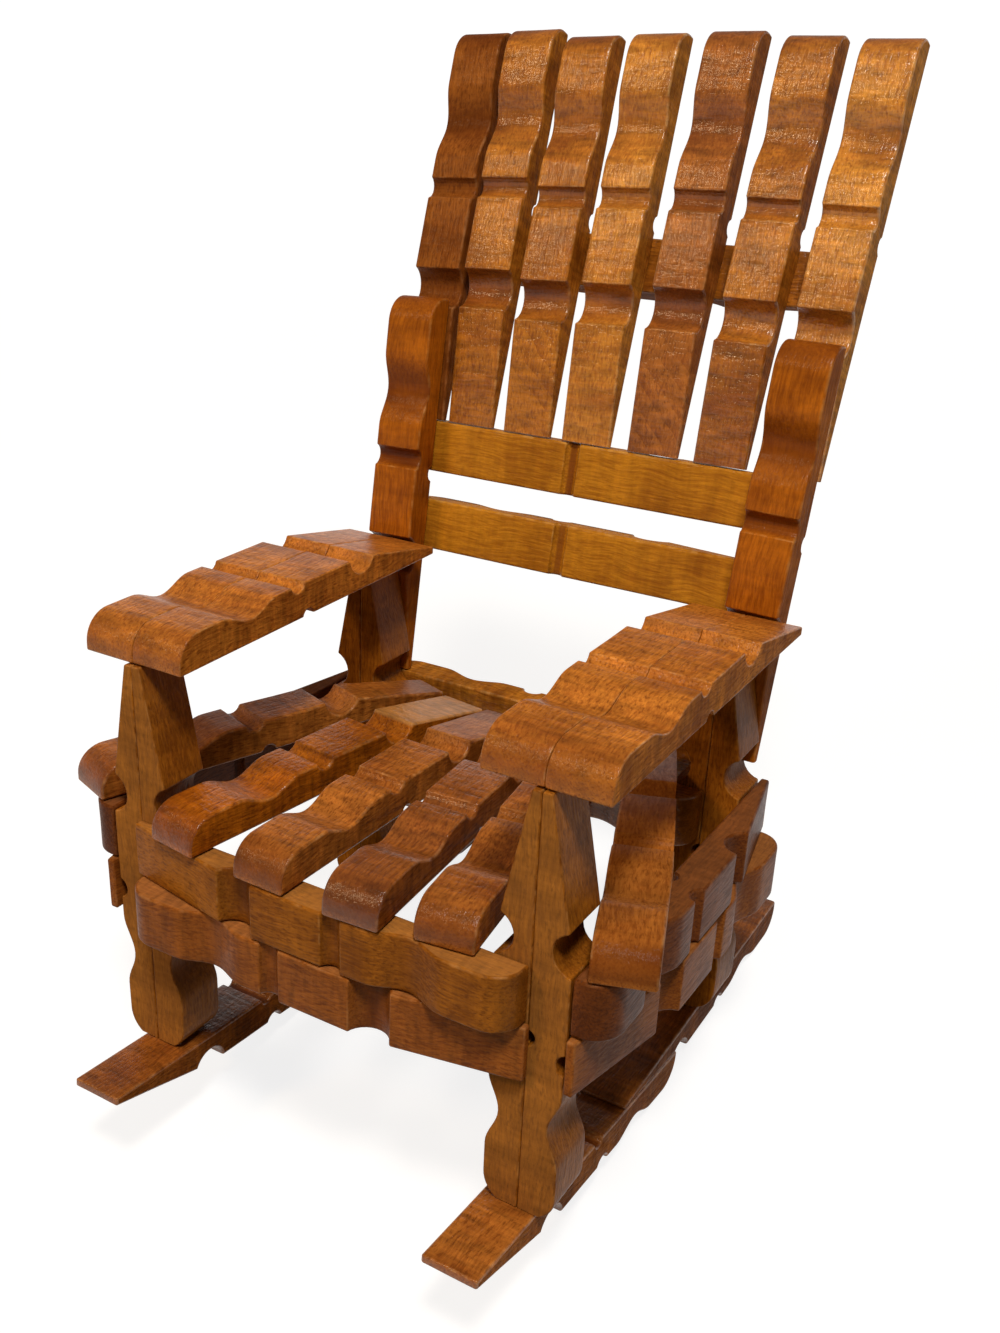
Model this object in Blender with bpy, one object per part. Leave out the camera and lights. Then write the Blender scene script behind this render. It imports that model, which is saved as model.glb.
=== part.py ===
"""Miniature rocking chair glued up from the wooden halves of spring clothes pegs.

Every piece is the same sawn and shaped peg half, so one outline makes them all. The legs are pairs
glued flat to flat, a box of rails ties the legs together, slats make the seat and the back, and each
rocker is two halves lapped where the handle of the rear one lies on the flat of the front one.
Lengths are in millimetres in the frame of the upright legs: X to the right, Y from the front of the
front legs to the back, Z up from the floor end of the front legs. The whole chair then leans back
onto its rockers.
"""

import math

import bmesh
import bpy
from mathutils import Matrix, Vector

MM = 0.001
GAP = 0.3  # glue line between touching faces

# Peg half: distances along it from the jaw tip, heights from its flat face
PEG_LENGTH = 83.0
PEG_WIDTH = 11.0
EASE = 0.5  # broken corners at the ends
ARRIS = 0.35  # sanded long edges
LAND_HEIGHT = 7.0
NOSE_LENGTH = 5.8
NOSE_BASE = 1.6
DIP_START = 12.0
DIP_END = 28.0
DIP_DEPTH = 2.3
WIRE_NOTCH = (34.4, 7.6, 2.2)  # station and height of the centre, and radius
COIL_NOTCH = (55.75, 7.7, 4.2)
WIRE_GROOVE = (37.5, -0.4, 1.7)  # across the flat face
SHOULDER_HEIGHT = 6.2
HANDLE_END = 1.7
PLANED_SHOULDER = 4.2  # handle of a rear rocker half, planed thinner for its lap
PLANED_END = 0.9

# Legs
LEG_CENTRE = 41.6  # glue line of a leg pair from the middle of the chair
BACK_LEG_REAR = 82.6
BACK_LEG_LEVEL = 0.2

# Rails round the seat, two on each side
RAIL_STEP = PEG_WIDTH + GAP
SEAT_RAIL_TOP = 52.0
REAR_RAIL_TOP = 54.4
LOWER_APRON_SHIFT = 0.7
LOWER_SIDE_TIP = 82.0  # from the front

# Seat slats: jaw tip across the chair and from the front, and tail across the chair
SEAT_SLATS = (
    (-57.1, 2.2, -28.6),
    (-29.2, -5.8, -17.0),
    (-8.4, -7.2, -5.6),
    (11.4, -7.7, 5.8),
    (27.9, -4.7, 17.2),
    (56.7, 1.7, 28.5),
)
TAIL_TRIM = (35.2, 71.6)  # point on the trimmed edge of the outer slats, level with the back legs
TAIL_TURN = 2.4  # degrees between the trimmed edge and the slat

# Arms
ARM_FRONT = 0.6

# Back: posts, rails behind them and slats, with distances down the posts and slats from their tops
POST_FOOT = 41.7
POST_TOP = 43.4
POST_FOOT_LEVEL = 53.9
SLAT_FOOT_STATION = 25.8
MIDDLE_RAIL_STATION = 25.8
LOWER_RAIL_STATION = 43.0
UPPER_RAIL_STATION = 39.2
SLAT_SPARE = 1.2  # handle length left on the back slats, for sawing their feet to the rail
BACK_SLATS = (  # top and foot across the chair, and lift
    (-45.2, -41.7, 0.3),
    (-32.75, -29.4, 1.1),
    (-19.1, -15.5, 0.0),
    (-4.3, -1.5, 0.6),
    (12.1, 13.6, 1.1),
    (27.8, 28.1, 0.4),
    (42.9, 43.0, 0.0),
)

# Rockers
ROCKER_CENTRE = 39.7
ROCKER_RISE = math.radians(5.3)  # the front half climbs towards the front
ROCKER_LEVEL = 0.15  # flat of the front half under the middle of the front legs
ROCKER_TIP = 63.2
ROCKER_LAP_END = 37.2

# Stain under the varnish: red, green and blue, linear
TAN = (0.46, 0.22, 0.06)
HONEY = (0.44, 0.16, 0.03)
AMBER = (0.33, 0.11, 0.022)
RUSSET = (0.25, 0.07, 0.017)
CHESTNUT = (0.16, 0.042, 0.012)
VARNISH_ROUGHNESS = 0.3

RIGHT = Vector((1, 0, 0))
BACK = Vector((0, 1, 0))
UP = Vector((0, 0, 1))


def round_cut(cut, first, last, steps):
    """Points of a round cut in the waved face, from one height through its floor to another."""
    station, height, radius = cut
    start = math.asin((first - height) / radius)
    end = -math.pi - math.asin((last - height) / radius)
    angles = [start + (end - start) * step / steps for step in range(steps + 1)]
    return [(station + radius * math.cos(angle), height + radius * math.sin(angle)) for angle in angles]


def shoulder_station(shoulder):
    return round_cut(COIL_NOTCH, shoulder, LAND_HEIGHT, 1)[0][0]


def taper(shoulder, end):
    """Angle between the flat face of a peg half and its handle."""
    return math.atan2(shoulder - end, PEG_LENGTH - shoulder_station(shoulder))


def peg_outline(shoulder, end, spare=0):
    """Side outline of a peg half: out along the flat face, then back along the waved one.

    Spare length carries the handle on at its own taper.
    """
    station, height, radius = WIRE_GROOVE
    groove_start = math.pi + math.asin(height / radius)
    groove_end = -math.asin(height / radius)
    outline = [(EASE, 0)]
    for step in range(5):
        angle = groove_start + (groove_end - groove_start) * step / 4
        outline.append((station + radius * math.cos(angle), height + radius * math.sin(angle)))
    slope = math.tan(taper(shoulder, end))
    length = PEG_LENGTH + spare
    end -= spare * slope
    ease = min(EASE, end / 3)
    outline += [(length - ease, 0), (length, ease)]
    outline += [(length, end - ease), (length - ease, end + ease * slope)]
    outline += round_cut(COIL_NOTCH, shoulder, LAND_HEIGHT, 6)
    outline += round_cut(WIRE_NOTCH, LAND_HEIGHT, LAND_HEIGHT, 4)
    for step in range(9):
        share = step / 8
        drop = DIP_DEPTH * (1 - math.cos(2 * math.pi * share)) / 2
        outline.append((DIP_END + (DIP_START - DIP_END) * share, LAND_HEIGHT - drop))
    for step in range(6):
        angle = math.pi / 2 * step / 5
        rise = (LAND_HEIGHT - NOSE_BASE) * math.cos(angle)
        outline.append((NOSE_LENGTH - NOSE_LENGTH * math.sin(angle), NOSE_BASE + rise))
    outline.append((0, EASE))
    return outline


def stained_wood(name, colour):
    material = bpy.data.materials.new(name + "_wood")
    material.use_nodes = True
    shader = material.node_tree.nodes["Principled BSDF"]
    shader.inputs["Base Color"].default_value = (*colour, 1)
    shader.inputs["Roughness"].default_value = VARNISH_ROUGHNESS
    shader.inputs["Metallic"].default_value = 0
    return material


def add_peg(name, tip, along, out, colour, outline=None, cuts=()):
    """Add a peg half by its jaw tip, the way along it and the way that its waved face looks.

    Each cut is a point and the normal of a saw cut, which takes off the side the normal points to.
    """
    turn = Matrix((along, out.cross(along), out)).transposed()
    corner = Vector(tip)
    mesh = bmesh.new()
    side = PEG_WIDTH / 2 - ARRIS
    near = mesh.faces.new([mesh.verts.new((x * MM, -side * MM, z * MM)) for x, z in outline or PEG])
    swept = bmesh.ops.extrude_face_region(mesh, geom=[near], use_keep_orig=True)["geom"]
    far = next(item for item in swept if isinstance(item, bmesh.types.BMFace))
    bmesh.ops.translate(mesh, verts=far.verts, vec=(0, 2 * side * MM, 0))
    bmesh.ops.recalc_face_normals(mesh, faces=mesh.faces)
    bmesh.ops.inset_region(
        mesh, faces=[near, far], thickness=ARRIS * MM, depth=ARRIS * MM, use_even_offset=True
    )
    for point, normal in cuts:
        bmesh.ops.bisect_plane(
            mesh,
            geom=mesh.verts[:] + mesh.edges[:] + mesh.faces[:],
            plane_co=turn.inverted() @ (Vector(point) - corner) * MM,
            plane_no=turn.inverted() @ normal,
            clear_outer=True,
        )
        bmesh.ops.holes_fill(mesh, edges=[edge for edge in mesh.edges if edge.is_boundary])
    bmesh.ops.recalc_face_normals(mesh, faces=mesh.faces)
    data = bpy.data.meshes.new(name)
    mesh.to_mesh(data)
    mesh.free()
    data.materials.append(stained_wood(name, colour))
    piece = bpy.data.objects.new(name, data)
    piece.parent = chair
    piece.location = corner * MM
    piece.rotation_euler = turn.to_euler()
    bpy.context.collection.objects.link(piece)


def side_name(side):
    return "right" if side > 0 else "left"


def lean(angle):
    """Ways down and forward of a piece that leans back by an angle."""
    return Vector((0, -math.sin(angle), -math.cos(angle))), Vector((0, -math.cos(angle), math.sin(angle)))


def build_rockers():
    """Lay the rocker halves and return the saw cuts for the feet of the front and the back legs."""
    front_along = Vector((0, -math.cos(ROCKER_RISE), math.sin(ROCKER_RISE)))
    front_out = Vector((0, -math.sin(ROCKER_RISE), -math.cos(ROCKER_RISE)))
    slope = taper(PLANED_SHOULDER, PLANED_END) - ROCKER_RISE
    rear_along = Vector((0, -math.cos(slope), -math.sin(slope)))
    rear_out = Vector((0, math.sin(slope), -math.cos(slope)))
    planed = peg_outline(PLANED_SHOULDER, PLANED_END)

    def on_flat(across, depth):
        drop = (depth - PEG_WIDTH / 2) * math.tan(ROCKER_RISE)
        return Vector((across, depth, ROCKER_LEVEL - drop))

    for side in (-1, 1):
        across = side * ROCKER_CENTRE
        front_tip = on_flat(across, ROCKER_TIP)
        thin_end = on_flat(across, ROCKER_LAP_END) - GAP * front_out
        rear_tip = thin_end - PEG_LENGTH * rear_along - PLANED_END * rear_out
        add_peg(f"rocker_{side_name(side)}_front", front_tip, front_along, front_out, RUSSET)
        add_peg(f"rocker_{side_name(side)}_rear", rear_tip, rear_along, rear_out, CHESTNUT, planed)
    return (front_tip - GAP * front_out, front_out), (rear_tip - GAP * rear_out, rear_out)


def build_legs(front_cut, back_cut):
    rows = (
        ("front_leg", PEG_WIDTH / 2, 0, front_cut),
        ("back_leg", BACK_LEG_REAR - PEG_WIDTH / 2, BACK_LEG_LEVEL, back_cut),
    )
    for row, depth, level, cut in rows:
        for side in (-1, 1):
            for half, way in (("outer", side), ("inner", -side)):
                tip = (side * LEG_CENTRE + way * GAP / 2, depth, level)
                add_peg(f"{row}_{side_name(side)}_{half}", tip, UP, RIGHT * way, AMBER, cuts=[cut])


def build_rails():
    """Box of rails round the seat: aprons in front, two rails on each side and two behind."""
    end = PEG_LENGTH / 2
    upper = SEAT_RAIL_TOP - PEG_WIDTH / 2
    lower = upper - RAIL_STEP
    add_peg("front_apron_upper", (end, -GAP, upper), -RIGHT, -BACK, TAN)
    add_peg("front_apron_lower", (LOWER_APRON_SHIFT - end, -GAP, lower), RIGHT, -BACK, RUSSET)
    for side in (-1, 1):
        face = side * (LEG_CENTRE + GAP / 2 + LAND_HEIGHT + GAP)
        out = RIGHT * side
        add_peg(f"side_rail_{side_name(side)}_upper", (face, 0, upper), BACK, out, RUSSET)
        add_peg(f"side_rail_{side_name(side)}_lower", (face, LOWER_SIDE_TIP, lower), -BACK, out, AMBER)
    rear = BACK_LEG_REAR + GAP
    rear_upper = REAR_RAIL_TOP - PEG_WIDTH / 2
    add_peg("rear_rail_upper", (-end, rear, rear_upper), RIGHT, BACK, AMBER)
    add_peg("rear_rail_lower", (end, rear, rear_upper - RAIL_STEP), -RIGHT, BACK, RUSSET)
    bearer = BACK_LEG_REAR - PEG_WIDTH - GAP
    add_peg("seat_bearer", (end, bearer, upper), -RIGHT, -BACK, AMBER)


def build_seat():
    level = SEAT_RAIL_TOP + GAP
    for number, (nose, front, tail) in enumerate(SEAT_SLATS, start=1):
        turn = math.asin((tail - nose) / PEG_LENGTH)
        along = Vector((math.sin(turn), math.cos(turn), 0))
        cuts = []
        if number in (1, len(SEAT_SLATS)):
            side = math.copysign(1, nose)
            edge = abs(turn) + math.radians(TAIL_TURN)
            point = (side * TAIL_TRIM[0], TAIL_TRIM[1], level)
            cuts = [(point, Vector((side * math.cos(edge), math.sin(edge), 0)))]
        add_peg(f"seat_slat_{number}", (nose, front, level), along, UP, RUSSET, cuts=cuts)


def build_arms():
    rise = math.atan2(BACK_LEG_LEVEL, BACK_LEG_REAR - PEG_WIDTH)
    along = Vector((0, math.cos(rise), math.sin(rise)))
    out = Vector((0, -math.sin(rise), math.cos(rise)))
    level = PEG_LENGTH + GAP / math.cos(rise) + ARM_FRONT * math.tan(rise)
    for side in (-1, 1):
        for half, way in (("outer", side), ("inner", -side)):
            across = side * LEG_CENTRE + way * RAIL_STEP / 2
            add_peg(f"arm_{side_name(side)}_{half}", (across, ARM_FRONT, level), along, out, RUSSET)


def build_back():
    """Posts behind the back legs, rails behind the posts, and slats standing on the middle rail."""
    angle = taper(SHOULDER_HEIGHT, HANDLE_END)
    down, forward = lean(angle)
    splay = math.asin((POST_TOP - POST_FOOT) / PEG_LENGTH)
    foot = Vector((0, BACK_LEG_REAR + GAP, POST_FOOT_LEVEL))
    post_cut = (REAR_RAIL_TOP + GAP) * UP, -UP
    for side in (-1, 1):
        along = math.cos(splay) * down - side * math.sin(splay) * RIGHT
        tip = foot + side * POST_FOOT * RIGHT - PEG_LENGTH * along - HANDLE_END * forward
        add_peg(f"post_{side_name(side)}", tip, along, forward, AMBER, cuts=[post_cut])

    top = foot - PEG_LENGTH * down - HANDLE_END * forward - GAP * forward
    end = PEG_LENGTH / 2 * RIGHT
    for name, station in (("middle", MIDDLE_RAIL_STATION), ("lower", LOWER_RAIL_STATION)):
        tip = top + (station + PEG_WIDTH / 2) * down - end
        add_peg(f"back_rail_{name}", tip, RIGHT, -forward, HONEY)

    slat_down, slat_forward = lean(2 * angle)
    slat_cut = top + (MIDDLE_RAIL_STATION - GAP) * down, down
    long_peg = peg_outline(SHOULDER_HEIGHT, HANDLE_END, SLAT_SPARE)
    for number, (upper, lower, lift) in enumerate(BACK_SLATS, start=1):
        turn = math.asin((lower - upper) / PEG_LENGTH)
        along = math.cos(turn) * slat_down + math.sin(turn) * RIGHT
        slat_foot = top + (SLAT_FOOT_STATION - lift) * down + lower * RIGHT
        tip = slat_foot - PEG_LENGTH * along - HANDLE_END * slat_forward
        add_peg(f"back_slat_{number}", tip, along, slat_forward, HONEY, long_peg, [slat_cut])
    slat_top = top + SLAT_FOOT_STATION * down - PEG_LENGTH * slat_down - HANDLE_END * slat_forward
    tip = slat_top + (UPPER_RAIL_STATION + PEG_WIDTH / 2) * slat_down - GAP * slat_forward - end
    add_peg("back_rail_upper", tip, RIGHT, -slat_forward, AMBER)


def world_points(pieces):
    bpy.context.view_layer.update()
    return [piece.matrix_world @ vertex.co for piece in pieces for vertex in piece.data.vertices]


def rest_slope(front, rear):
    """Slope of the line that touches both halves of a rocker from below."""
    low, high = 0.0, 0.5
    for _ in range(40):
        slope = (low + high) / 2
        front_height = min(point.z - slope * point.y for point in front)
        rear_height = min(point.z - slope * point.y for point in rear)
        if front_height < rear_height:
            low = slope
        else:
            high = slope
    return slope


def stand_on_floor():
    """Lean the chair back onto its rockers, with the floor at zero and the origin under its middle."""
    front = world_points([bpy.data.objects["rocker_left_front"]])
    rear = world_points([bpy.data.objects["rocker_left_rear"]])
    chair.rotation_euler.x = -math.atan(rest_slope(front, rear))
    points = world_points(chair.children)
    low = Vector([min(point[axis] for point in points) for axis in range(3)])
    high = Vector([max(point[axis] for point in points) for axis in range(3)])
    chair.location = (-(low.x + high.x) / 2, -(low.y + high.y) / 2, -low.z)


for leftover in list(bpy.data.objects):
    bpy.data.objects.remove(leftover)
PEG = peg_outline(SHOULDER_HEIGHT, HANDLE_END)
chair = bpy.data.objects.new("chair", None)
bpy.context.collection.objects.link(chair)
foot_cuts = build_rockers()
build_legs(*foot_cuts)
build_rails()
build_seat()
build_arms()
build_back()
stand_on_floor()
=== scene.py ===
import math

import bmesh
import bpy
import numpy as np
from mathutils import Matrix, Vector, noise


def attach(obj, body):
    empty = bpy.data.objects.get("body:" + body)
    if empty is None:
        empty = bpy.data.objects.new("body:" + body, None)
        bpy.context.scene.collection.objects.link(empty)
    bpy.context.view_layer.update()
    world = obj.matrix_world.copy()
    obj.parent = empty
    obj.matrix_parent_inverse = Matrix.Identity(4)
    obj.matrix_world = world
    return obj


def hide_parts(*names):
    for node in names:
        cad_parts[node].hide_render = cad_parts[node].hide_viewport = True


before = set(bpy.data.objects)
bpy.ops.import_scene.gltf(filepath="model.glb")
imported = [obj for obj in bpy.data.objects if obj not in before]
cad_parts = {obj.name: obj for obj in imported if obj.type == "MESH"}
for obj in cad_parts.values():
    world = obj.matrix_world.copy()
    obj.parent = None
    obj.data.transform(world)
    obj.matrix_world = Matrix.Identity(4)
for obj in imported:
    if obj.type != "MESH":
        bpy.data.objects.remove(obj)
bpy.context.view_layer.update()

mm = 0.001
glue = 0.3  # mm between glued faces
right, back, up = Vector((1, 0, 0)), Vector((0, 1, 0)), Vector((0, 0, 1))

# Pieces are laid out in mm round upright legs, then the whole chair leans back onto its rockers
restPose = {"lean": 6.08371, "shift": (0.196, -63.997, 17.684)}
lean = Matrix.Rotation(-math.radians(restPose["lean"]), 4, "X")
chairPlace = Matrix.Translation(Vector(restPose["shift"]) * mm) @ lean
print("frame loaded:", len(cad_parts), "pieces")


# Finish: stained beech, sawn and milled, under brushed gloss varnish

def linear(hexColour):
    parts = [int(hexColour[i:i + 2], 16) / 255 for i in (1, 3, 5)]
    return [v / 12.92 if v <= 0.04045 else ((v + 0.055) / 1.055) ** 2.4 for v in parts] + [1]


def addNode(tree, kind, links=(), **settings):
    node = tree.nodes.new(kind)
    for name, value in settings.items():
        setattr(node, name, value)
    for socket, value in dict(links).items():
        if isinstance(value, bpy.types.NodeSocket):
            tree.links.new(value, node.inputs[socket])
        else:
            node.inputs[socket].default_value = value
    return node


# light is the fresh wood, dark its late wood, pooled where stain lies thick and where painted shade
# darkens hollows, tips and handles, also the pores; worn on rubbed edges
woodTones = {
    "gold": {"light": "#cf8a31", "dark": "#a6641e", "pooledAndShaded": "#864713", "worn": "#e2b779"},
    "golden": {"light": "#c07e1d", "dark": "#985b12", "pooledAndShaded": "#78400e", "worn": "#d1a661"},
    "honey": {"light": "#bb7523", "dark": "#925215", "pooledAndShaded": "#73390e", "worn": "#d2a463"},
    "amber": {"light": "#a86319", "dark": "#7f450e", "pooledAndShaded": "#63300a", "worn": "#c39252"},
    "copper": {"light": "#b46413", "dark": "#88450a", "pooledAndShaded": "#662e0a", "worn": "#c38d4d"},
    "olive": {"light": "#a4631b", "dark": "#7c4510", "pooledAndShaded": "#5d2f0a", "worn": "#c49055"},
    "orange": {"light": "#c2772a", "dark": "#9a561c", "pooledAndShaded": "#793d11", "worn": "#d5a467"},
    "red": {"light": "#ad6828", "dark": "#864919", "pooledAndShaded": "#69330e", "worn": "#c9975f"},
    "russet": {"light": "#97571f", "dark": "#733b13", "pooledAndShaded": "#57280a", "worn": "#b88352"},
    "chestnut": {"light": "#794016", "dark": "#55290d", "pooledAndShaded": "#3f1b07", "worn": "#9e6c45"},
}
woodGrain = {  # mm, long patterns as length along the peg and width
    "fibre": (7, 0.5), "fleck": (1.5, 0.42), "band": (7, 7 / 0.3), "ripple": (1.5, 1.5 / 0.22),
    "blotch": 12, "rub": 1 / 0.45, "peel": 1.1, "swell": 1 / 0.07, "bend": 3,
    "logLength": 900, "logTurn": 37.7,  # how far along the log and round it, in radians, pegs are cut
}
# each noise from low to high, and what that becomes
noiseReach = {
    "streak": (0.34, 0.66, 0.0, 0.85), "spread": (0.3, 0.7, -0.35, 0.45), "band": (0.5, 0.68, 0.0, 0.4),
    "rub": (0.45, 0.68, 0.0, 0.4), "sheen": (0.3, 0.7, 0.52, 0.36), "fleck": (0.52, 0.68, 0.0),
    "ripple": (0.3, 0.7),
}
reaches = {name: dict(enumerate(numbers, start=1)) for name, numbers in noiseReach.items()}
rippleMiddle = 1.02
bumps = {"fibre": 0.2, "ripple": 0.7, "peel": 0.4}  # mm
sawnGleam = 0.008  # no film stands on the sawn sides
fibreGleam = "#ffc27d"  # light that fibres under the varnish throw back
# rings: slant, mm apart, strength and where on the peg they start; fleck: dark pores;
# ripple: figure across the grain, its light and dark colour bands partly painted sheen; varnish: pebbles,
# film and gleam
straightRings = (0.06, 2.4, 0.15, -5)
figures = {
    "plain": {"rings": straightRings, "fleck": 0.65, "ripple": 0.34, "varnish": (0.3, 0.6, 0.16)},
    "satin": {"rings": straightRings, "fleck": 0.6, "ripple": 0.15, "varnish": (0.4, 0.06, 0.05)},
    "smooth": {"rings": straightRings, "fleck": 0.25, "ripple": 0.12, "varnish": (0.2, 0.12, 0.1)},
    "brushed": {"rings": straightRings, "fleck": 0.75, "ripple": 0.34, "varnish": (0.5, 0.28, 0.12)},
    "glossy": {"rings": straightRings, "fleck": 0.6, "ripple": 0.4, "varnish": (0.4, 0.85, 0.16)},
    "wavy": {"rings": (0.3, 1.1, 0.5, -5), "fleck": 0.5, "ripple": 0.24, "varnish": (0.4, 0.08, 0.06)},
    "wavyHandle": {
        "rings": (0.75, 3.2, 0.7, 58), "fleck": 0.6, "ripple": 0.34, "varnish": (0.3, 0.6, 0.16)},
    "pebbled": {"rings": straightRings, "fleck": 0.7, "ripple": 0.36, "varnish": (1.0, 0.4, 0.12)},
}


def varnishedBeech(tone, figureName):
    # stained beech shows fine fibres and short dark flecks; the varnish over it is thick and uneven
    material = bpy.data.materials.new(f"varnished_beech_{tone}_{figureName}")
    material.use_nodes = True
    tree = material.node_tree
    tree.nodes.clear()
    stainAndShading, figure, grain = woodTones[tone], figures[figureName], woodGrain
    (slant, apart, ringy, start), (pebbles, film, gleam) = figure["rings"], figure["varnish"]
    longWays = {name: (1 / grain[name][0], 1 / grain[name][1], 1 / grain[name][1])
                for name in ("fibre", "fleck", "band", "ripple")}

    # where a point lies in the log that the peg was cut from
    place = addNode(tree, "ShaderNodeTexCoord").outputs["Object"]
    chance = addNode(tree, "ShaderNodeObjectInfo").outputs["Random"]
    inMm = addNode(tree, "ShaderNodeVectorMath", {0: place, 1: (1 / mm,) * 3}, operation="MULTIPLY")
    board = addNode(tree, "ShaderNodeMath", {0: chance, 1: grain["logLength"]}, operation="MULTIPLY")
    log = addNode(tree, "ShaderNodeVectorMath", {0: inMm.outputs[0], 1: board.outputs[0]},
                  operation="ADD").outputs[0]
    swell = addNode(tree, "ShaderNodeTexNoise", {
        "Vector": log, "Scale": 1 / grain["swell"], "Detail": 1.0})
    bend = addNode(tree, "ShaderNodeVectorMath", {
        0: swell.outputs["Color"], 1: (0, grain["bend"], grain["bend"])}, operation="MULTIPLY")
    bent = addNode(tree, "ShaderNodeVectorMath", {0: log, 1: bend.outputs[0]}, operation="ADD")
    turn = addNode(tree, "ShaderNodeMath", {0: chance, 1: grain["logTurn"]}, operation="MULTIPLY")
    turned = addNode(tree, "ShaderNodeVectorRotate", {
        "Vector": bent.outputs[0], "Angle": turn.outputs[0]}, rotation_type="X_AXIS")
    slanted = addNode(tree, "ShaderNodeMapping", {"Vector": bent.outputs[0], "Rotation": (0, 0, -slant)})
    station = addNode(tree, "ShaderNodeSeparateXYZ", {0: inMm.outputs[0]}).outputs["X"]

    # rings, fibres and pores, blotches and bands of stain
    rings = addNode(tree, "ShaderNodeTexWave", {
        "Vector": slanted.outputs[0], "Scale": 2 * math.pi / 20 / apart,
        "Distortion": 4.0, "Detail": 2.0, "Detail Scale": 0.6, "Detail Roughness": 0.6},
        bands_direction="Y", wave_profile="SAW")
    waves = addNode(tree, "ShaderNodeMapRange", {0: station, 1: start, 2: start + 4, 3: 0.1, 4: ringy})
    along = addNode(tree, "ShaderNodeMapping", {"Vector": turned.outputs[0], "Scale": longWays["fibre"]})
    fibres = addNode(tree, "ShaderNodeTexNoise", {
        "Vector": along.outputs[0], "Scale": 1.0, "Detail": 3.0, "Roughness": 0.62})
    short = addNode(tree, "ShaderNodeMapping", {"Vector": turned.outputs[0], "Scale": longWays["fleck"]})
    flecks = addNode(tree, "ShaderNodeTexNoise", {
        "Vector": short.outputs[0], "Scale": 1.0, "Detail": 2.0})
    fleckMask = addNode(tree, "ShaderNodeMapRange", {
        0: flecks.outputs[0], **reaches["fleck"], 4: figure["fleck"]})
    blotch = addNode(tree, "ShaderNodeTexNoise", {
        "Vector": log, "Scale": 1 / grain["blotch"], "Detail": 3.0})
    across = addNode(tree, "ShaderNodeMapping", {"Vector": log, "Scale": longWays["band"]})
    bands = addNode(tree, "ShaderNodeTexNoise", {
        "Vector": across.outputs[0], "Scale": 1.0, "Detail": 2.0})

    streak = addNode(tree, "ShaderNodeMapRange", {0: fibres.outputs[0], **reaches["streak"]})
    ringShare = addNode(tree, "ShaderNodeMath", {0: rings.outputs["Fac"], 1: waves.outputs[0]},
                        operation="MULTIPLY")
    spread = addNode(tree, "ShaderNodeMapRange", {0: blotch.outputs[0], **reaches["spread"]})
    grained = addNode(tree, "ShaderNodeMath", {0: streak.outputs[0], 1: ringShare.outputs[0]},
                      operation="ADD")
    blotched = addNode(tree, "ShaderNodeMath", {0: grained.outputs[0], 1: spread.outputs[0]},
                       operation="ADD", use_clamp=True)
    wood = addNode(tree, "ShaderNodeMix", {
        0: blotched.outputs[0], 6: linear(stainAndShading["dark"]), 7: linear(stainAndShading["light"])}, data_type="RGBA")
    flecked = addNode(tree, "ShaderNodeMix", {
        0: fleckMask.outputs[0], 6: wood.outputs[2], 7: linear(stainAndShading["pooledAndShaded"])}, data_type="RGBA")
    # hollow: darkening of recesses, jaw tips and handles, part stain and part painted shade
    hollow = addNode(tree, "ShaderNodeAttribute", attribute_name="hollow").outputs["Fac"]
    bandShare = addNode(tree, "ShaderNodeMapRange", {0: bands.outputs[0], **reaches["band"]})
    stainAndShadeShare = addNode(tree, "ShaderNodeMath", {0: hollow, 1: bandShare.outputs[0]},
                     operation="ADD", use_clamp=True)
    pooledAndShaded = addNode(tree, "ShaderNodeMix", {
        0: stainAndShadeShare.outputs[0], 6: flecked.outputs[2], 7: linear(stainAndShading["pooledAndShaded"])}, data_type="RGBA")

    # rubbed edges, sawn sides lightened as painted light and a pale tail, then a ripple across the grain,
    # part planing marks and part painted sheen
    edge = addNode(tree, "ShaderNodeAttribute", attribute_name="edge").outputs["Fac"]
    rub = addNode(tree, "ShaderNodeTexNoise", {"Vector": log, "Scale": 1 / grain["rub"], "Detail": 3.0})
    rubMask = addNode(tree, "ShaderNodeMapRange", {0: rub.outputs[0], **reaches["rub"]})
    wornShare = addNode(tree, "ShaderNodeMath", {0: edge, 1: rubMask.outputs[0]}, operation="MULTIPLY")
    # paleAndLit: sawn sides lightened as painted light, and a pale, little stained tail
    paleAndLit = addNode(tree, "ShaderNodeAttribute", attribute_name="paleAndLit").outputs["Fac"]
    paleShare = addNode(tree, "ShaderNodeMath", {0: wornShare.outputs[0], 1: paleAndLit}, operation="MAXIMUM")
    worn = addNode(tree, "ShaderNodeMix", {
        0: paleShare.outputs[0], 6: pooledAndShaded.outputs[2], 7: linear(stainAndShading["worn"])}, data_type="RGBA")
    crossed = addNode(tree, "ShaderNodeMapping", {"Vector": log, "Scale": longWays["ripple"]})
    ripples = addNode(tree, "ShaderNodeTexNoise", {
        "Vector": crossed.outputs[0], "Scale": 1.0, "Detail": 3.0, "Roughness": 0.65})
    # cross-grain bands in the colour: part planing ripple, part painted chatoyant sheen
    shade = addNode(tree, "ShaderNodeMapRange", {
        0: ripples.outputs[0], **reaches["ripple"],
        3: rippleMiddle - figure["ripple"], 4: rippleMiddle + figure["ripple"]})
    rippled = addNode(tree, "ShaderNodeVectorMath", {0: worn.outputs[2], 1: shade.outputs[0]},
                      operation="MULTIPLY")

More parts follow.
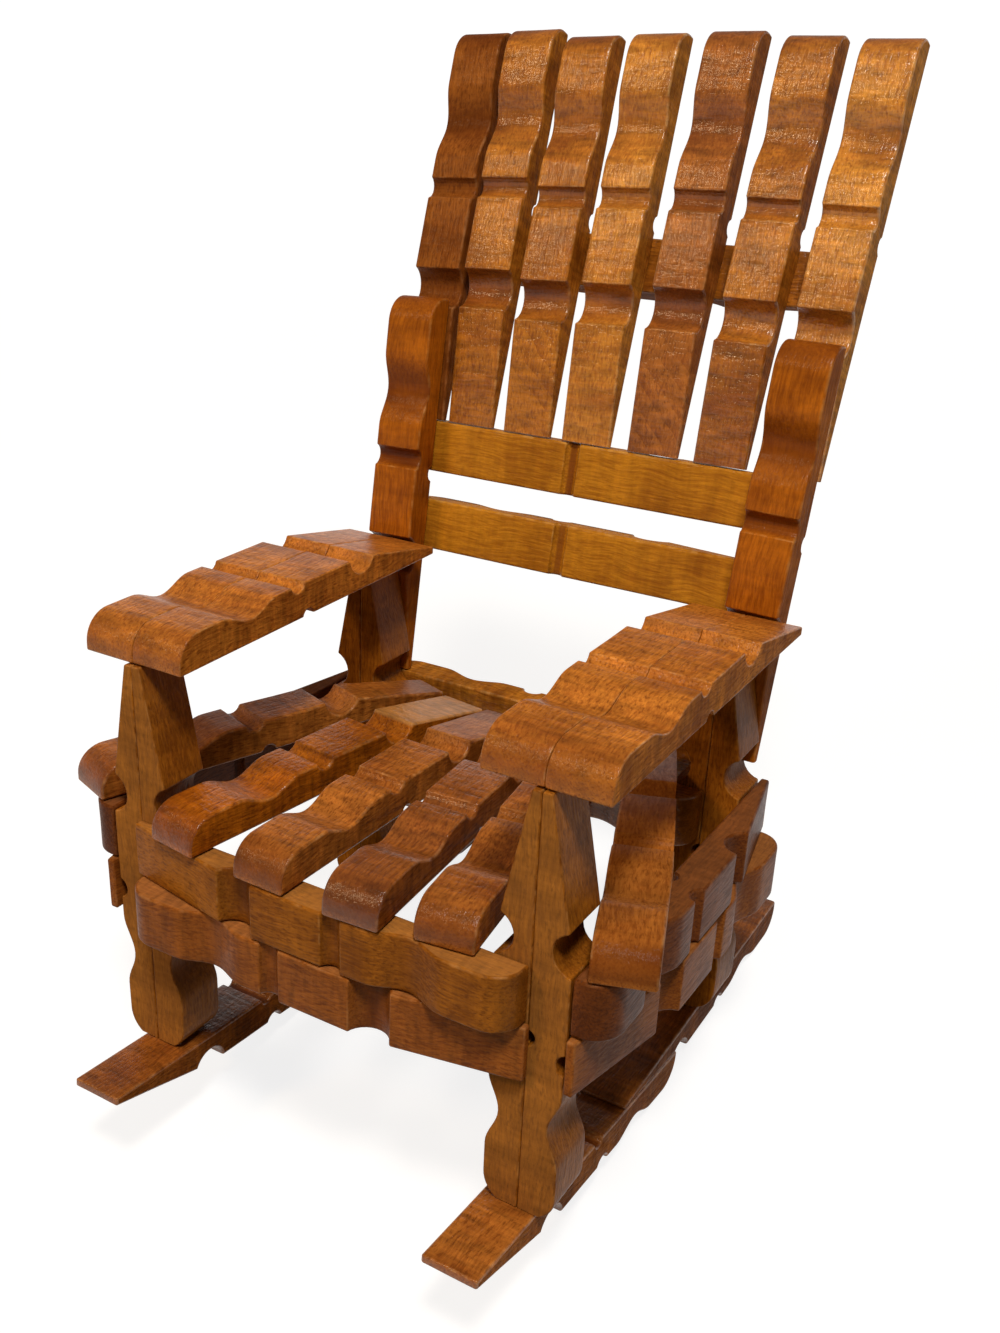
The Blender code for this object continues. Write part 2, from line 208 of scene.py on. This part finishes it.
    # varnish over it, pebbled by the brush
    peel = addNode(tree, "ShaderNodeTexNoise", {"Vector": log, "Scale": 1 / grain["peel"], "Detail": 2.0})
    fibreBump = addNode(tree, "ShaderNodeBump", {
        "Height": fibres.outputs[0], "Strength": 0.6, "Distance": bumps["fibre"] * mm})
    rippleBump = addNode(tree, "ShaderNodeBump", {
        "Height": ripples.outputs[0], "Strength": figure["ripple"], "Distance": bumps["ripple"] * mm,
        "Normal": fibreBump.outputs[0]})
    peelBump = addNode(tree, "ShaderNodeBump", {
        "Height": peel.outputs[0], "Strength": pebbles, "Distance": bumps["peel"] * mm,
        "Normal": rippleBump.outputs[0]})
    sheen = addNode(tree, "ShaderNodeMapRange", {0: fibres.outputs[0], **reaches["sheen"]})
    sawn = addNode(tree, "ShaderNodeAttribute", attribute_name="sawn").outputs["Fac"]
    coat = addNode(tree, "ShaderNodeMapRange", {0: sawn, 1: 0.0, 2: 1.0, 3: film, 4: 0.0})
    lustre = addNode(tree, "ShaderNodeMapRange", {0: sawn, 1: 0.0, 2: 1.0, 3: gleam, 4: sawnGleam})
    shader = addNode(tree, "ShaderNodeBsdfPrincipled", {
        "Base Color": rippled.outputs[0], "Roughness": sheen.outputs[0], "IOR": 1.5,
        "Specular IOR Level": lustre.outputs[0], "Specular Tint": linear(fibreGleam),
        "Coat Weight": coat.outputs[0], "Coat Roughness": 0.2,
        "Normal": fibreBump.outputs[0], "Coat Normal": peelBump.outputs[0]})
    addNode(tree, "ShaderNodeOutputMaterial", {"Surface": shader.outputs[0]})
    return material


woods = {}


def woodOf(tone, figure):
    if (tone, figure) not in woods:
        woods[tone, figure] = varnishedBeech(tone, figure)
    return woods[tone, figure]


# One peg half: distances along it from the jaw tip, heights from its flat face, all in mm

peg = {
    "length": 83.0, "width": 11.0, "land": 7.0, "noseLength": 5.8, "noseBase": 1.6,
    "dip": (12.0, 28.0, 2.3),  # start, end and depth of the waved jaw
    # station and height of the centre, radius
    "wireNotch": (34.4, 7.6, 2.2), "coilNotch": (55.75, 7.7, 4.2), "wireGroove": (37.5, -0.4, 1.7),
    "shoulder": 6.2, "handleEnd": 1.7,
    "planedShoulder": 4.2, "planedEnd": 0.9,  # handle of a rear rocker half
    "arris": 0.55, "crest": 0.42,  # rounding of the sawn edges and of the milled corners
    "crestWear": 0.8, "thinShare": 0.36,  # no inset goes deeper than this share of the thickness
    "sideInset": 0.2, "flatFrom": 2.2,  # ring inside the sawn edge, and where the width is plain
    "wobble": 0.08, "wobbleLength": (8, 5),  # hand sanding
    "nose": 6, "milled": (8, 59.5), "wireEdges": (31, 38),  # where stain and painted shade darken the peg
    # darkening in each mm of hollow, in the jaw tip and on the handle, part stain and part painted shade,
    # and how much lighter the sawn sides are, painted light
    "stainAndShading": {"hollow": 0.09, "tip": 0.4, "handle": 0.0, "paleAndLit": 0.0},
    "wireStainAndShade": 1.7, "mostStainAndShade": 0.75,  # the narrow wire notch is darkened most: stain and painted shade
}
cornerAngle, creaseAngle = math.radians(17), math.radians(42)  # what is rounded, what shades as an edge


def roundCut(cut, first, last, steps):
    station, height, radius = cut
    start = math.asin((first - height) / radius)
    end = -math.pi - math.asin((last - height) / radius)
    angles = [start + (end - start) * i / steps for i in range(steps + 1)]
    return [(station + radius * math.cos(a), height + radius * math.sin(a)) for a in angles]


def taper(shoulder, handleEnd):
    coilEdge = roundCut(peg["coilNotch"], shoulder, shoulder, 1)[0][0]
    return math.atan2(shoulder - handleEnd, peg["length"] - coilEdge)


def pegOutline(shoulder, handleEnd, spare=0):
    slope = math.tan(taper(shoulder, handleEnd))
    length, land = peg["length"] + spare, peg["land"]
    handleEnd -= spare * slope
    station, height, radius = peg["wireGroove"]
    dip = math.asin(-height / radius)
    points = [(0, 0), (12, 0), (24, 0)]
    for i in range(9):
        angle = math.pi - dip + (2 * dip - math.pi) * i / 8
        points.append((station + radius * math.cos(angle), height + radius * math.sin(angle)))
    points += [(52, 0), (68, 0), (length, 0), (length, handleEnd)]
    points += [(length - 8, handleEnd + 8 * slope)]
    points += roundCut(peg["coilNotch"], shoulder, land, 12)
    points += [(44, land)]
    points += roundCut(peg["wireNotch"], land, land, 8)
    first, last, depth = peg["dip"]
    for i in range(17):
        fall = depth * (1 - math.cos(math.pi * i / 8)) / 2
        points.append((last + (first - last) * i / 16, land - fall))
    for i in range(11):
        angle = math.pi / 2 * i / 10
        rise = (land - peg["noseBase"]) * math.cos(angle)
        points.append((peg["noseLength"] * (1 - math.sin(angle)), peg["noseBase"] + rise))
    return softened([Vector(p) for p in points])


def softened(points):
    # each soft point: its spot, the way into the wood, the sharp corner behind a proud one, and its wear
    soft = []
    for i, point in enumerate(points):
        before, after = point - points[i - 1], points[(i + 1) % len(points)] - point
        inward = Vector((-before.normalized().y, before.normalized().x))
        bend = math.atan2(before.cross(after), before.dot(after))
        middle = Matrix.Rotation(bend / 2, 2) @ inward
        if abs(bend) < cornerAngle:
            soft.append((point, middle, None, 0.0))
            continue
        half = math.tan(abs(bend) / 2)
        radius = min(peg["crest"], 0.45 * before.length / half, 0.45 * after.length / half)
        mitre = middle / math.cos(bend / 2)
        way = math.copysign(1, bend)
        centre = point + mitre * radius * way
        for step in range(5):
            ray = Matrix.Rotation(bend * step / 4, 2) @ inward
            sharp = (point, mitre, radius) if bend > 0 else None
            wear = peg["crestWear"] if sharp and 0 < step < 4 else 0.0
            soft.append((centre - ray * radius * way, ray, sharp, wear))
    return soft


pegCount = 0


def drawnIn(spot, inward, sharp, inset, across):
    # past its rounding a proud corner shrinks to one point, so that no sawn side folds over itself
    if sharp and inset > sharp[2]:
        spot, inward = sharp[:2]
    long, short = peg["wobbleLength"]
    wobble = noise.noise(Vector((spot.x / long, across / long + spot.y / short, pegCount * 3.7)))
    return spot + inward * (inset + peg["wobble"] * wobble)


def addPeg(node, tip, along, out, tone, outline=None, cuts=(), figure="plain", stainAndShading=(),
           fit=(peg["width"], peg["arris"])):
    global pegCount
    pegCount += 1
    tinting = {**peg["stainAndShading"], **dict(stainAndShading)}
    soft = outline or wholePeg
    top = sorted((spot.x, spot.y) for spot, inward, sharp, wear in soft if spot.y > 0.5)
    thick = np.interp([item[0].x for item in soft], [p[0] for p in top], [p[1] for p in top])
    arris, half, land = fit[1], fit[0] / 2, peg["land"]
    quarter = [(arris * (1 - math.sin(a)), arris * (1 - math.cos(a)), math.sin(2 * a))
               for a in (math.pi / 8 * i for i in range(5))]
    # inset, step from the side and wear of each ring, from the sawn side to the middle
    near = [(arris + peg["sideInset"], 0, 0)] + quarter + [(0, peg["flatFrom"], 0)]
    rings = [(inset, step - half, wear) for inset, step, wear in near] + [(0, 0, 0)]
    rings += [(inset, half - step, wear) for inset, step, wear in reversed(near)]

    mesh = bmesh.new()
    for name in ("hollow", "edge", "sawn", "paleAndLit"):
        mesh.verts.layers.float.new(name)
    layers = mesh.verts.layers.float
    (milledFrom, handleFrom), (wireFrom, wireTo) = peg["milled"], peg["wireEdges"]
    grid = []
    for inset, across, rubbed in rings:
        row = []
        for (spot, inward, sharp, wear), depth in zip(soft, thick):
            drawn = drawnIn(spot, inward, sharp, min(inset, peg["thinShare"] * depth), across)
            vert = mesh.verts.new((drawn.x * mm, across * mm, drawn.y * mm))
            # darkening from the depth below the land, at the jaw tip and on the handle: part stain, part
            # painted shade
            poolingAndShade = 0
            if inset < arris and spot.y > 1:
                if spot.x >= handleFrom:
                    poolingAndShade = tinting["handle"]
                elif spot.x > milledFrom:
                    poolingAndShade = tinting["hollow"] * (land - spot.y)
                    poolingAndShade *= peg["wireStainAndShade"] if wireFrom < spot.x < wireTo else 1
                else:
                    poolingAndShade = tinting["tip"] * max(0, 1 - spot.x / peg["nose"])
            vert[layers["hollow"]] = min(max(poolingAndShade, 0), peg["mostStainAndShade"])
            vert[layers["edge"]] = max(rubbed, wear if inset < arris else 0)
            vert[layers["sawn"]] = 1 if inset >= arris else 0
            # sawn sides lightened: painted light; a negative darkening gives a paler, less stained face
            vert[layers["paleAndLit"]] = tinting["paleAndLit"] if inset >= arris else max(-poolingAndShade, 0)
            row.append(vert)
        grid.append(row)
    count = len(soft)
    for low, high in zip(grid, grid[1:]):
        for i in range(count):
            mesh.faces.new((low[i], low[(i + 1) % count], high[(i + 1) % count], high[i]))
    mesh.faces.new(grid[0])
    mesh.faces.new(grid[-1])
    bmesh.ops.remove_doubles(mesh, verts=mesh.verts, dist=0.002 * mm)

    turn = Matrix((along, out.cross(along), out)).transposed()
    corner = Vector(tip)
    for point, normal in cuts:
        bmesh.ops.bisect_plane(mesh, geom=mesh.verts[:] + mesh.edges[:] + mesh.faces[:],
                               plane_co=turn.inverted() @ (Vector(point) - corner) * mm,
                               plane_no=turn.inverted() @ normal, clear_outer=True)
        bmesh.ops.holes_fill(mesh, edges=[edge for edge in mesh.edges if edge.is_boundary])
    bmesh.ops.recalc_face_normals(mesh, faces=mesh.faces)
    data = bpy.data.meshes.new(node + "_peg")
    mesh.to_mesh(data)
    mesh.free()
    data.shade_smooth()
    data.set_sharp_from_angle(angle=creaseAngle)
    data.materials.append(woodOf(tone, figure))
    piece = bpy.data.objects.new(node + "_peg", data)
    bpy.context.collection.objects.link(piece)
    piece.matrix_world = chairPlace @ Matrix.Translation(corner * mm) @ turn.to_4x4()
    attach(piece, "root")
    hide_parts(node)


wholePeg = pegOutline(peg["shoulder"], peg["handleEnd"])
sides = {"left": -1, "right": 1}


# Rockers: the handle of each rear half lies on the flat of the front one

rocker = {"centre": 39.7, "rise": math.radians(5.3), "level": 0.15, "tip": 63.2, "lapEnd": 37.2,
          "tones": {"left": "russet", "right": "red", "rear": "russet"}}
frontAlong = Vector((0, -math.cos(rocker["rise"]), math.sin(rocker["rise"])))
frontOut = Vector((0, -math.sin(rocker["rise"]), -math.cos(rocker["rise"])))
rearSlope = taper(peg["planedShoulder"], peg["planedEnd"]) - rocker["rise"]
rearAlong = Vector((0, -math.cos(rearSlope), -math.sin(rearSlope)))
rearOut = Vector((0, math.sin(rearSlope), -math.cos(rearSlope)))
planedPeg = pegOutline(peg["planedShoulder"], peg["planedEnd"])


def onRocker(across, depth):
    fall = (depth - peg["width"] / 2) * math.tan(rocker["rise"])
    return Vector((across, depth, rocker["level"] - fall))


for name, side in sides.items():
    frontTip = onRocker(side * rocker["centre"], rocker["tip"])
    thinEnd = onRocker(side * rocker["centre"], rocker["lapEnd"]) - glue * frontOut
    rearTip = thinEnd - peg["length"] * rearAlong - peg["planedEnd"] * rearOut
    addPeg(f"rocker_{name}_front", frontTip, frontAlong, frontOut, rocker["tones"][name])
    addPeg(f"rocker_{name}_rear", rearTip, rearAlong, rearOut, rocker["tones"]["rear"], planedPeg)
print("rockers laid")


# Legs: pairs glued flat to flat, jaws down, feet sawn to the slope of the rockers

legs = {"centre": 41.6, "backRear": 82.6, "backLevel": 0.2, "tones": {"front": "olive", "back": "amber"},
        # sawn fronts of the front legs lighter: painted light; back leg handles darker
        "stainAndShading": {"front": {"paleAndLit": 0.2}, "back": {"handle": 0.25}},
        "seam": 0.08, "fit": (11.0, 0.3)}  # the glue line drawn tight, its edges hardly rounded
legRows = (
    ("front", peg["width"] / 2, 0, (frontTip - glue * frontOut, frontOut)),
    ("back", legs["backRear"] - peg["width"] / 2, legs["backLevel"], (rearTip - glue * rearOut, rearOut)),
)
for row, depth, level, cut in legRows:
    for name, side in sides.items():
        for half, way in (("outer", side), ("inner", -side)):
            tip = (side * legs["centre"] + way * legs["seam"] / 2, depth, level)
            addPeg(f"{row}_leg_{name}_{half}", tip, up, right * way, legs["tones"][row], cuts=[cut],
                   figure="satin", stainAndShading=legs["stainAndShading"][row], fit=legs["fit"])
print("legs up")


# Rails round the seat, two to a side, and a bearer under the tails of the seat slats

rails = {"seatTop": 52.0, "rearTop": 54.4, "apronShift": 0.7, "lowerSideTip": 82.0,
         "tones": {"apronUpper": "olive", "apronLower": "russet", "sideUpper": "chestnut",
                   "sideLower": "russet", "rearUpper": "honey", "rearLower": "red", "bearer": "amber"},
         # apron hollows and tips darkened, stain and painted shade; sawn top edges of apron and side
         # rails lighter, painted light
         "apronStainAndShading": {"hollow": 0.15, "tip": 0.45, "paleAndLit": 0.25}, "sidePaleAndLit": {"paleAndLit": 0.22}}
railEnd = peg["length"] / 2
railStep = peg["width"] + glue
upperRail = rails["seatTop"] - peg["width"] / 2
lowerRail = upperRail - railStep
tones = rails["tones"]
addPeg("front_apron_upper", (railEnd, -glue, upperRail), -right, -back, tones["apronUpper"],
       figure="satin", stainAndShading=rails["apronStainAndShading"])
addPeg("front_apron_lower", (rails["apronShift"] - railEnd, -glue, lowerRail), right, -back,
       tones["apronLower"], figure="wavy", stainAndShading=rails["apronStainAndShading"])
for name, side in sides.items():
    face = side * (legs["centre"] + glue / 2 + peg["land"] + glue)
    addPeg(f"side_rail_{name}_upper", (face, 0, upperRail), back, right * side, tones["sideUpper"],
           figure="satin", stainAndShading=rails["sidePaleAndLit"])
    lowerTip = (face, rails["lowerSideTip"], lowerRail)
    addPeg(f"side_rail_{name}_lower", lowerTip, -back, right * side, tones["sideLower"],
           figure="satin", stainAndShading=rails["sidePaleAndLit"])
rearFace = legs["backRear"] + glue
rearRail = rails["rearTop"] - peg["width"] / 2
addPeg("rear_rail_upper", (-railEnd, rearFace, rearRail), right, back, tones["rearUpper"])
addPeg("rear_rail_lower", (railEnd, rearFace, rearRail - railStep), -right, back, tones["rearLower"])
bearerFace = legs["backRear"] - peg["width"] - glue
addPeg("seat_bearer", (railEnd, bearerFace, upperRail), -right, -back, tones["bearer"])
print("rails on")


# Seat: six slats that fan out to the front, the outer tails trimmed to pass the back legs

seat = {
    "slats": (  # nose across and from the front, tail across, tone, figure
        (-57.1, 2.2, -28.6, "red", "brushed"),
        (-29.2, -5.8, -17.0, "copper", "pebbled"),
        (-8.4, -7.2, -5.6, "red", "brushed"),
        (11.4, -7.7, 5.8, "russet", "plain"),
        (27.9, -4.7, 17.2, "red", "brushed"),
        (56.7, 1.7, 28.5, "red", "satin"),
    ),
    # seat slat noses darkened: stain and painted shade
    "stainAndShading": {"hollow": 0.02, "tip": 0.95}, "paleTail": (2, -0.6),  # one slat took little stain behind
    "trim": (35.2, 71.6), "trimTurn": 2.4,
}
seatLevel = rails["seatTop"] + glue
for i, (nose, front, tail, tone, figure) in enumerate(seat["slats"], start=1):
    turn = math.asin((tail - nose) / peg["length"])
    cuts = []
    if i in (1, len(seat["slats"])):
        side = math.copysign(1, nose)
        edge = abs(turn) + math.radians(seat["trimTurn"])
        point = (side * seat["trim"][0], seat["trim"][1], seatLevel)
        cuts = [(point, Vector((side * math.cos(edge), math.sin(edge), 0)))]
    slatAlong = Vector((math.sin(turn), math.cos(turn), 0))
    pale, share = seat["paleTail"]
    stainAndShading = {**seat["stainAndShading"], "handle": share if i == pale else 0}
    addPeg(f"seat_slat_{i}", (nose, front, seatLevel), slatAlong, up, tone, None, cuts, figure, stainAndShading)
print("seat on")


# Arms: two halves side by side on the leg tops

arms = {"front": 0.6, "tone": "orange", "stainAndShading": {"hollow": 0.0, "tip": 0.45}, "fit": (11.22, 0.3)}
armRise = math.atan2(legs["backLevel"], legs["backRear"] - peg["width"])
armAlong = Vector((0, math.cos(armRise), math.sin(armRise)))
armOut = Vector((0, -math.sin(armRise), math.cos(armRise)))
armLevel = peg["length"] + glue / math.cos(armRise) + arms["front"] * math.tan(armRise)
for name, side in sides.items():
    for half, way in (("outer", side), ("inner", -side)):
        tip = (side * legs["centre"] + way * railStep / 2, arms["front"], armLevel)
        addPeg(f"arm_{name}_{half}", tip, armAlong, armOut, arms["tone"], figure="brushed",
               stainAndShading=arms["stainAndShading"], fit=arms["fit"])
print("arms on")


# Back: posts with their handles on the back legs, rails behind them, slats standing on the middle rail

backRest = {
    "postFoot": 41.7, "postTop": 43.4, "postLevel": 53.9, "postTone": "copper",
    "slatFoot": 25.8, "middleRail": 25.8, "lowerRail": 43.0, "upperRail": 39.2, "slatSpare": 1.2,
    "slats": (  # top and foot across, lift, tone, figure, darkening in the hollows and on the handle (stain and painted shade)
        (-45.2, -41.7, 0.3, "russet", "satin", 0.15, 0.2),
        (-32.75, -29.4, 1.1, "honey", "plain", 0.22, 0.2),
        (-19.1, -15.5, 0.0, "honey", "wavyHandle", 0.2, 0.15),
        (-4.3, -1.5, 0.6, "gold", "plain", 0.2, 0.2),
        (12.1, 13.6, 1.1, "red", "wavyHandle", 0.22, 0.15),
        (27.8, 28.1, 0.4, "honey", "glossy", 0.1, 0.5),
        (42.9, 43.0, 0.0, "gold", "glossy", 0.1, 0.2),
    ),
    # post hollows and tips darkened: stain and painted shade
    "slatTip": 0.7, "railTone": "golden", "upperTone": "amber", "postStainAndShading": {"hollow": 0.38, "tip": 0.6},
}


def leaning(angle):
    return Vector((0, -math.sin(angle), -math.cos(angle))), Vector((0, -math.cos(angle), math.sin(angle)))


rake = taper(peg["shoulder"], peg["handleEnd"])
postDown, postFront = leaning(rake)
splay = math.asin((backRest["postTop"] - backRest["postFoot"]) / peg["length"])
postFoot = Vector((0, legs["backRear"] + glue, backRest["postLevel"]))
postCut = (rails["rearTop"] + glue) * up, -up
for name, side in sides.items():
    postAlong = math.cos(splay) * postDown - side * math.sin(splay) * right
    foot = postFoot + side * backRest["postFoot"] * right
    tip = foot - peg["length"] * postAlong - peg["handleEnd"] * postFront
    addPeg(f"post_{name}", tip, postAlong, postFront, backRest["postTone"], None, [postCut], "smooth",
           backRest["postStainAndShading"])
postTop = postFoot - peg["length"] * postDown - (peg["handleEnd"] + glue) * postFront
for name in ("middle", "lower"):
    tip = postTop + (backRest[name + "Rail"] + peg["width"] / 2) * postDown - railEnd * right
    addPeg(f"back_rail_{name}", tip, right, -postFront, backRest["railTone"], figure="smooth")

slatDown, slatFront = leaning(2 * rake)
slatCut = postTop + (backRest["middleRail"] - glue) * postDown, postDown
longPeg = pegOutline(peg["shoulder"], peg["handleEnd"], backRest["slatSpare"])
for i, (top, foot, lift, tone, figure, hollow, handle) in enumerate(backRest["slats"], start=1):
    turn = math.asin((foot - top) / peg["length"])
    slatAlong = math.cos(turn) * slatDown + math.sin(turn) * right
    slatFoot = postTop + (backRest["slatFoot"] - lift) * postDown + foot * right
    tip = slatFoot - peg["length"] * slatAlong - peg["handleEnd"] * slatFront
    addPeg(f"back_slat_{i}", tip, slatAlong, slatFront, tone, longPeg, [slatCut], figure,
           {"hollow": hollow, "tip": backRest["slatTip"], "handle": handle})
slatTop = postTop + backRest["slatFoot"] * postDown
slatTop -= peg["length"] * slatDown + peg["handleEnd"] * slatFront
tip = slatTop + (backRest["upperRail"] + peg["width"] / 2) * slatDown - glue * slatFront - railEnd * right
addPeg("back_rail_upper", tip, right, -slatFront, backRest["upperTone"])
print("back up:", pegCount, "pegs in all")


# Floor, light and camera

studio = {
    "floorSize": 60.0, "floor": "#8c8b8a", "glow": (0.83, 0.98), "glowReach": (0.2, 1.6),
    # gloss sees the white fade into a dim ceiling between these slopes
    "ambient": 0.15, "backdropTop": (0.08, 0.3),
    "lamps": {  # from where, size, watts, colour
        "key": ((0.34, -0.42, 1.24), 0.22, 12.2, "#fff8ef"),
        "window": ((-0.53, -0.73, 0.95), 0.2, 4.2, "#ffdcae"),
    },
}


def seenRays(tree):
    # the camera, and gloss or glass that mirrors the room, see white
    path = addNode(tree, "ShaderNodeLightPath")
    direct = addNode(tree, "ShaderNodeMath", {
        0: path.outputs["Is Camera Ray"], 1: path.outputs["Is Glossy Ray"]}, operation="MAXIMUM")
    return addNode(tree, "ShaderNodeMath", {0: direct.outputs[0], 1: path.outputs["Is Transmission Ray"]},
                   operation="MAXIMUM").outputs[0]


floorMesh = bpy.data.meshes.new("floor")
reach = studio["floorSize"] / 2
floorCorners = [(x * reach, y * reach, 0) for x, y in ((-1, -1), (1, -1), (1, 1), (-1, 1))]
floorMesh.from_pydata(floorCorners, [], [(0, 1, 2, 3)])
floor = bpy.data.objects.new("floor", floorMesh)
floor.location.z = -0.0002
bpy.context.collection.objects.link(floor)
paper = bpy.data.materials.new("matte_white_paper")
paper.use_nodes = True
tree = paper.node_tree
shader = tree.nodes["Principled BSDF"]
shader.inputs["Base Color"].default_value = linear(studio["floor"])
shader.inputs["Roughness"].default_value = 0.9
shader.inputs["Emission Color"].default_value = (1, 1, 1, 1)
spot = addNode(tree, "ShaderNodeTexCoord").outputs["Object"]
distance = addNode(tree, "ShaderNodeVectorMath", {0: spot}, operation="LENGTH").outputs["Value"]
(near, far), (dim, bright) = studio["glowReach"], studio["glow"]
whiten = addNode(tree, "ShaderNodeMapRange", {0: distance, 1: near, 2: far, 3: dim, 4: bright})
glow = addNode(tree, "ShaderNodeMath", {0: seenRays(tree), 1: whiten.outputs[0]}, operation="MULTIPLY")
tree.links.new(glow.outputs[0], shader.inputs["Emission Strength"])
floorMesh.materials.append(paper)

world = bpy.data.worlds.new("studio")
bpy.context.scene.world = world
world.use_nodes = True
tree = world.node_tree
way = addNode(tree, "ShaderNodeTexCoord").outputs["Generated"]
height = addNode(tree, "ShaderNodeSeparateXYZ", {0: way}).outputs["Z"]
low, high = studio["backdropTop"]
backdrop = addNode(tree, "ShaderNodeMapRange", {0: height, 1: low, 2: high, 3: 1.0, 4: studio["ambient"]})
cameraRay = addNode(tree, "ShaderNodeLightPath").outputs["Is Camera Ray"]
whole = addNode(tree, "ShaderNodeMath", {0: cameraRay, 1: backdrop.outputs[0]}, operation="MAXIMUM")
strength = addNode(tree, "ShaderNodeMix", {0: seenRays(tree), 2: studio["ambient"], 3: whole.outputs[0]})
sky = tree.nodes["Background"]
sky.inputs["Color"].default_value = (1, 1, 1, 1)
tree.links.new(strength.outputs[0], sky.inputs["Strength"])

aim = Vector((0, 0, 0.09))
for name, (place, size, watts, colour) in studio["lamps"].items():
    light = bpy.data.lights.new(name, "AREA")
    light.color = linear(colour)[:3]
    light.size = size
    light.energy = watts
    lampObject = bpy.data.objects.new(name, light)
    lampObject.location = place
    lampObject.rotation_euler = (aim - Vector(place)).to_track_quat("-Z", "Y").to_euler()
    bpy.context.collection.objects.link(lampObject)

photoView = {"eye": (124.966, -166.92, 181.961), "azimuth": 32.386, "elevation": 25.076, "roll": 1.074,
             "focal": 1403.38, "centre": (416.634, 716.233), "image": (1000, 1333)}  # mm, degrees, pixels
around, above, tilt = (math.radians(photoView[k]) for k in ("azimuth", "elevation", "roll"))
viewRight = Vector((math.cos(around), math.sin(around), 0))
viewUp = Vector((
    -math.sin(around) * math.sin(above), math.cos(around) * math.sin(above), math.cos(above)))
rolledRight = viewRight * math.cos(tilt) + viewUp * math.sin(tilt)
rolledUp = viewUp * math.cos(tilt) - viewRight * math.sin(tilt)
camera = bpy.data.cameras.new("photoCamera")
camera.sensor_fit = "VERTICAL"
width, height = photoView["image"]
camera.sensor_height = 24
camera.lens = photoView["focal"] / height * camera.sensor_height
camera.shift_x = (width / 2 - photoView["centre"][0]) / height
camera.shift_y = (photoView["centre"][1] - height / 2) / height
camera.clip_start = 0.01
cameraObject = bpy.data.objects.new("photoCamera", camera)
bpy.context.collection.objects.link(cameraObject)
turn = Matrix((rolledRight, rolledUp, rolledRight.cross(rolledUp))).transposed()
cameraObject.matrix_world = chairPlace @ Matrix.Translation(Vector(photoView["eye"]) * mm) @ turn.to_4x4()
bpy.context.scene.camera = cameraObject
bpy.context.scene.view_settings.view_transform = "Standard"

bpy.context.view_layer.update()
print("scene ready")
